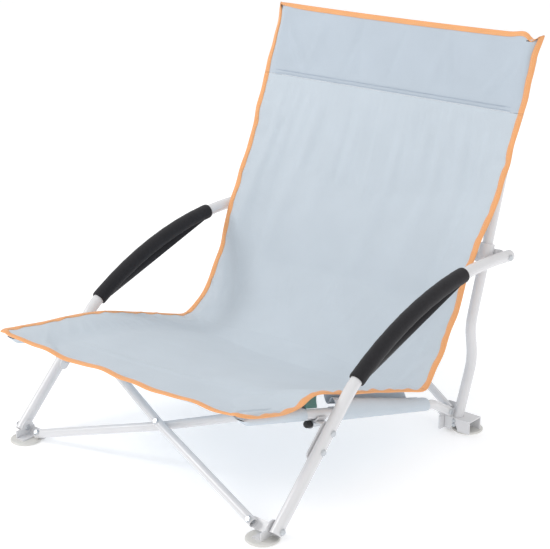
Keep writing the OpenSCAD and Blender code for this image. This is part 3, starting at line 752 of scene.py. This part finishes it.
class CAMPCHAIR_OT_headrest(bpy.types.Operator):
    """Makes the doubled headrest that slips over both posts, with its seam and binding"""
    bl_idname = "camp_chair.headrest"
    bl_label = "Headrest pocket"

    def execute(self, context):
        rows, cols = 34, COLS
        front = pocket_wrinkles(pocket_grid(1, 0, rows, cols), 12, 3.0)
        # the front layer runs on from the back cloth, and its first rows ease from that line
        seam = SHEETS["points"][-1]
        offset = seam - front[0]
        side_part = np.clip((np.abs(np.linspace(-1, 1, cols)) - 0.86) / 0.1, 0, 1)[:, None]
        for i in range(rows):
            near, far = max(0.0, 1 - i / 8) ** 2, (1 - i / (rows - 1)) ** 1.4
            front[i] += offset * (near * (1 - side_part) + far * side_part)
        back = pocket_wrinkles(pocket_grid(-1, 34, rows - 8, cols), 30, 1.0)
        cloth_sheet("headrest_front", front, "band", "right_post", "headrest_pocket",
                    rests_on=("right_back_post", "left_back_post"))
        cloth_sheet("headrest_rear", back[:, ::-1], "band", "right_post", None,
                    rests_on=("right_back_post", "left_back_post"))
        normal = surface_normals(front)
        path = [front[i, 0] for i in range(rows)] + [front[-1, j] for j in range(1, cols - 1)] + \
               [front[i, -1] for i in reversed(range(rows))]
        norm = [normal[i, 2] for i in range(rows)] + [normal[-3, j] for j in range(1, cols - 1)] + \
               [normal[i, -3] for i in reversed(range(rows))]
        inner = [front[i, 2] - front[i, 0] for i in range(rows)] + \
                [front[-3, j] - front[-1, j] for j in range(1, cols - 1)] + \
                [front[i, -3] - front[i, -1] for i in reversed(range(rows))]
        inner = mitred(np.array(inner), (rows - 1, rows + cols - 2))
        SHEETS["headrest_tape"] = bind_edge("headrest_binding", path, inner, norm, "right_post")
        # two rows of stitches hold the pocket's lower seam
        for k, up in enumerate((0.0025, 0.0085)):
            row = front[0] + POST_UP * up + normal[2] * 0.0002
            name = "headrest_seam_%d" % (k + 1)
            seam_row = stitch_row(name, row[4:-4], normal[2][4:-4], settings().cloth_thick / 2 + 0.0002,
                                  "cloth_thread")
            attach(seam_row, "right_post")
            squash_with_fold(seam_row)
        return {"FINISHED"}


# ---------------------------------------------------------------- hems round the rails

HEMS = ((-33, 112), (180, 436))       # stretches of rail with a hem, as y from front to back in mm
RAIL_FRONT = -36                      # the front hem is pressed flat towards here, past the rail, mm


def sling_height(side, x_mm, y_mm):
    """Height of the sling over a point, in mm."""
    points = SHEETS["points"][:turn_row() + 1]
    flat = points.reshape(-1, 3)
    target = np.array([side * x_mm * MM, FRONT_Y + y_mm * MM])
    near = np.argmin(((flat[:, :2] - target) ** 2).sum(axis=1))
    return flat[near, 2] / MM


class CAMPCHAIR_OT_hems(bpy.types.Operator):
    """Makes the flattened loops of cloth that hold the sling to the seat rails"""
    bl_idname = "camp_chair.hems"
    bl_label = "Rail hems"

    def execute(self, context):
        for name, side in SIDES:
            verts, faces, uvs = [], [], []
            for start, end in HEMS:
                count = max(12, int((end - start) / 6))
                first = len(verts)
                for i in range(count):
                    y = start + (end - start) * i / (count - 1)
                    loop = self.section(side, y)
                    verts += [place(side * x, y_, z) for x, y_, z in loop]
                    uvs += [(j * 0.006, y * MM) for j in range(len(loop))]
                size = len(loop)
                grid = grid_faces(count, size)
                faces += [tuple(first + v for v in (f if side > 0 else f[::-1])) for f in grid]
            hem = new_object(name + "_hem", verts, faces, "cloth", uvs)
            thicken(hem, 0.0011)
            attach(hem, name + "_rail")
            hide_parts(name + "_rail_sleeve")
        return {"FINISHED"}

    def section(self, side, y):
        """The loop's section: a web down from the sling, then once round the rail."""
        z = rail_height(y)
        start, end = next(h for h in HEMS if h[0] <= y <= h[1])
        slack = 3 + 13 * (end - y) / (end - start) if start > 0 else 1.5
        slack += 0.5 * math.sin(y * 0.21)
        closed = min(1.0, max(0.06, (y - RAIL_FRONT - 3) / 12))
        r = RAIL_D / 2 + 1.3
        top = min(sling_height(side, RAIL_X - 18, min(y, 398)) - 2.0, z + 34)
        if y > 396:
            top = z + r
        points = [(RAIL_X - 18, y, max(top, z + r * closed)),
                  (RAIL_X - 13, y, max((top + z) / 2, z + 4 * closed))]
        for k in range(25):
            a = math.radians(155 - 352 * k / 24)
            down = math.sin(a) * (r + (slack if math.sin(a) > 0 else 0.3 * slack)) * closed
            points.append((RAIL_X + r * math.cos(a), y, z + down))
        return points


# ---------------------------------------------------------------- grips and small pieces

GRIP_START = (196.5, 199.7)           # lower end in the side view, mm
GRIP_BEND = 640                       # radius of the arm's long curve, mm
GRIP_ANGLE = 33.0                     # slope at the lower end, degrees
GRIP_TURN = 27.2                      # how far the curve turns over the grip, degrees
GRIP_STEPS = 60


def grip_path():
    """Centre line of a foam grip, along the arm's long curve."""
    line = []
    for i in range(GRIP_STEPS + 1):
        a0, a = math.radians(GRIP_ANGLE), math.radians(GRIP_ANGLE - GRIP_TURN * i / GRIP_STEPS)
        y = GRIP_START[0] - GRIP_BEND * (math.sin(a) - math.sin(a0))
        z = GRIP_START[1] + GRIP_BEND * (math.cos(a) - math.cos(a0))
        line.append((y, z, a))
    return line


class CAMPCHAIR_OT_grips(bpy.types.Operator):
    """Makes the foam grips on the arms, with soft cut ends"""
    bl_idname = "camp_chair.grips"
    bl_label = "Foam grips"

    def execute(self, context):
        arm_x = abs(node_middle("right_foam_grip").x) / MM
        outer, inner, around = 13.4, 10.2, 40
        line = grip_path()
        last = len(line) - 1
        for name, side in SIDES:
            verts, uvs = [], []
            rings = [(0, inner + 0.1), (0, outer - 1.6), (0.12, outer - 0.5), (0.5, outer)]
            rings += [(i, outer) for i in range(1, last)]
            rings += [(last - 0.5, outer), (last - 0.12, outer - 0.5), (last, outer - 1.6),
                      (last, inner + 0.1)]
            for k, (i, radius) in enumerate(rings):
                low = int(min(i, last - 1))
                y, z, a = (line[low][m] + (line[low + 1][m] - line[low][m]) * (i - low) for m in range(3))
                swell = 0.12 * math.sin(i * 0.9 + side) + 0.08 * math.sin(i * 2.3)
                if 3 < k < len(rings) - 4:
                    radius += swell
                for j in range(around):
                    b = 2 * math.pi * j / around
                    x = arm_x + radius * math.cos(b)
                    lift = radius * math.sin(b)
                    verts.append(place(side * x, y - math.sin(a) * lift, z + math.cos(a) * lift))
                    uvs.append((b * outer * MM, i * 0.005))
            faces = grid_faces(len(rings), around, wrap=True)
            if side < 0:
                faces = [f[::-1] for f in faces]
            grip = new_object(name + "_grip", verts, faces, "foam", uvs)
            close_bore(grip, len(rings), around)
            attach(grip, name + "_arm")
            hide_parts(name + "_foam_grip")
        return {"FINISHED"}


def close_bore(obj, rings, around):
    """Joins the two end rings through the grip's bore, so that the foam is a closed sleeve."""
    work = bmesh.new()
    work.from_mesh(obj.data)
    work.verts.ensure_lookup_table()
    last = (rings - 1) * around
    for j in range(around):
        k = (j + 1) % around
        work.faces.new([work.verts[v] for v in (last + j, last + k, k, j)])
    bmesh.ops.recalc_face_normals(work, faces=work.faces)
    for face in work.faces:
        face.smooth = True
    work.to_mesh(obj.data)
    work.free()


def lathe(name, profile, origin, axis, mat, around=40):
    """A turned piece. profile is (along the axis, radius) in mm."""
    axis = Vector(axis).normalized()
    side = axis.orthogonal().normalized()
    other = axis.cross(side)
    verts = []
    for along, radius in profile:
        for j in range(around):
            b = 2 * math.pi * j / around
            spoke = side * math.cos(b) + other * math.sin(b)
            verts.append(Vector(origin) + axis * along * MM + spoke * radius * MM)
    faces = grid_faces(len(profile), around, wrap=True)
    faces.append(tuple(reversed(range(around))))
    faces.append(tuple((len(profile) - 1) * around + j for j in range(around)))
    uvs = [(j / around * 0.03, p[0] * MM) for p in profile for j in range(around)]
    obj = new_object(name, verts, faces, mat, uvs)
    obj.data.set_sharp_from_angle(angle=math.radians(35))
    return obj


class CAMPCHAIR_OT_small_parts(bpy.types.Operator):
    """Makes the black caps of the stop pins, their washers and the webbing tabs at the notches"""
    bl_idname = "camp_chair.small_parts"
    bl_label = "Caps, washers and tabs"

    def execute(self, context):
        forward = Vector((0, -math.cos(RAIL_SLOPE), math.sin(RAIL_SLOPE)))
        for name, side in SIDES:
            end = place(side * RAIL_X, 125.6, 140.4)
            cap = lathe(name + "_stop_cap",
                        [(-1, 4.7), (-1, 6.0), (6.5, 6.0), (8.2, 5.2), (9.0, 3.4), (9.1, 1.2)],
                        end, forward, "plug")
            washer = lathe(name + "_stop_washer", [(-2.6, 4.6), (-2.6, 7.4), (-1.3, 7.4), (-1.3, 4.6)],
                           end, forward, "zinc")
            for piece, slot in ((cap, "plug_plastic"), (washer, "zinc_steel")):
                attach(piece, name + "_arm")
            self.tab(name, side)
        return {"FINISHED"}

    def tab(self, name, side):
        """A short web that ties the sling to the top of the rail at the notch."""
        verts, uvs = [], []
        steps = 8
        for i in range(6):
            y = 117 + 6 * i
            foot = rail_height(y) + RAIL_D / 2 + 1.0
            top = sling_height(side, RAIL_X - 5, y) - 2.0
            for k in range(steps):
                w = k / (steps - 1)
                x = RAIL_X - 1 - 4 * w - 3 * math.sin(math.pi * w)
                verts.append(place(side * x, y + 6 * w, foot + (top - foot) * w))
                uvs.append((k * 0.004, i * 0.006))
        faces = grid_faces(6, steps)
        if side < 0:
            faces = [f[::-1] for f in faces]
        tab = new_object(name + "_webbing_tab", verts, faces, "webbing", uvs)
        thicken(tab, 0.0012)
        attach(tab, name + "_rail")


# ---------------------------------------------------------------- frame finishes

FINISH_OF_SLOT = {"white_enamel": "enamel", "zinc_steel": "zinc", "pad_plastic": "pad",
                  "plug_plastic": "plug", "grip_foam": "foam", "sling_cloth": "cloth",
                  "sling_binding": "tape"}


class CAMPCHAIR_OT_finishes(bpy.types.Operator):
    """Gives each tube, bracket, bolt, plug and foot its finish"""
    bl_idname = "camp_chair.finishes"
    bl_label = "Frame finishes"

    def execute(self, context):
        slots = {p["node"]: p["material_slot"] for p in frame["record"]["subparts"]}
        for name, obj in frame["nodes"].items():
            for holder in obj.material_slots:
                holder.material = material(FINISH_OF_SLOT[slots[name]])
        return {"FINISHED"}


class CAMPCHAIR_OT_declare_cloth(bpy.types.Operator):
    """Goes through each sheet of cloth and works out its area, which is not used further"""
    bl_idname = "camp_chair.declare_cloth"
    bl_label = "Declare cloth"

    def execute(self, context):
        goes_with = {"seat_cloth": SHEETS["seat_tape"],
                     "back_cloth": SHEETS["right_tape"] + SHEETS["left_tape"],
                     "headrest_front": SHEETS["headrest_tape"],
                     "headrest_rear": ()}
        for name, pieces in goes_with.items():
            obj, flat, area, held, rests_on = SHEETS[name]
            area = min(area, flat[0] * flat[1])
        return {"FINISHED"}


# ---------------------------------------------------------------- stage

class CAMPCHAIR_OT_stage(bpy.types.Operator):
    """Makes the pale floor, the soft studio light and the camera"""
    bl_idname = "camp_chair.stage"
    bl_label = "Stage"

    def execute(self, context):
        scene = context.scene
        scene.view_settings.view_transform = "Standard"
        self.floor()
        self.world(scene)
        self.light("key", (-1.9, -1.9, 2.0), 24, 0.9)
        self.light("fill", (2.2, -1.6, 1.8), 6, 2.2)
        self.light("top", (0.1, 0.4, 3.2), 12, 3.0)
        self.camera(scene)
        return {"FINISHED"}

    def floor(self):
        mesh = bpy.data.meshes.new("floor")
        size = 9.0
        corners = [(-size, -size, 0), (size, -size, 0), (size, size, 0), (-size, size, 0)]
        mesh.from_pydata(corners, [], [(0, 1, 2, 3)])
        floor = bpy.data.objects.new("floor", mesh)
        bpy.context.scene.collection.objects.link(floor)
        mat, tree, shader = new_material("backlit_acrylic_floor", "F7F7F8", 0.8,
                                         Emission_Color=(1.0, 1.0, 1.0, 1.0), Emission_Strength=0.3)
        floor.data.materials.append(mat)
        floor.location.z = -0.0005

    def world(self, scene):
        world = bpy.data.worlds.new("studio")
        world.use_nodes = True
        back = next(n for n in world.node_tree.nodes if n.type == "BACKGROUND")
        back.inputs["Color"].default_value = (1.0, 1.0, 1.0, 1.0)
        back.inputs["Strength"].default_value = 0.74
        scene.world = world

    def light(self, name, place_at, power, size):
        data = bpy.data.lights.new(name, "AREA")
        data.energy = power
        data.size = size
        lamp = bpy.data.objects.new(name, data)
        lamp.location = place_at
        aim = Vector((0, 0, 0.3)) - Vector(place_at)
        lamp.rotation_euler = aim.to_track_quat("-Z", "Y").to_euler()
        bpy.context.scene.collection.objects.link(lamp)

    def camera(self, scene):
        """Azimuth and elevation of the view, and the place it is taken from."""
        azimuth, elevation = math.radians(40.9), math.radians(18.5)
        right = Vector((math.cos(azimuth), math.sin(azimuth), 0))
        back = Vector((math.sin(azimuth) * math.cos(elevation), -math.cos(azimuth) * math.cos(elevation),
                       math.sin(elevation)))
        up = back.cross(right)
        data = bpy.data.cameras.new("camera")
        data.sensor_width = 36.0
        data.lens = 99.9
        cam = bpy.data.objects.new("camera", data)
        turned = Matrix((right, up, back)).transposed().to_4x4()
        cam.matrix_world = Matrix.Translation(place(1620, -1530, 1100)) @ turned
        scene.collection.objects.link(cam)
        scene.camera = cam


# ---------------------------------------------------------------- panel and registration

STEPS = ("finishes", "sling", "headrest", "hems", "grips", "small_parts", "declare_cloth", "stage")


class CAMPCHAIR_PT_panel(bpy.types.Panel):
    """Sidebar panel with each step"""
    bl_label = "Camp chair"
    bl_idname = "CAMPCHAIR_PT_panel"
    bl_space_type = "VIEW_3D"
    bl_region_type = "UI"
    bl_category = "Camp chair"

    def draw(self, context):
        for name in CampChairSettings.__annotations__:
            self.layout.prop(context.scene.camp_chair, name)
        for step in STEPS:
            self.layout.operator("camp_chair." + step)


CLASSES = (CampChairSettings, CAMPCHAIR_OT_finishes, CAMPCHAIR_OT_sling, CAMPCHAIR_OT_headrest,
           CAMPCHAIR_OT_hems, CAMPCHAIR_OT_grips, CAMPCHAIR_OT_small_parts, CAMPCHAIR_OT_declare_cloth,
           CAMPCHAIR_OT_stage, CAMPCHAIR_PT_panel)


def register():
    for item in CLASSES:
        bpy.utils.register_class(item)
    bpy.types.Scene.camp_chair = bpy.props.PointerProperty(type=CampChairSettings)


def unregister():
    del bpy.types.Scene.camp_chair
    for item in reversed(CLASSES):
        bpy.utils.unregister_class(item)


def main():
    register()
    for step in STEPS:
        getattr(bpy.ops.camp_chair, step)()


if __name__ == "__main__":
    main()
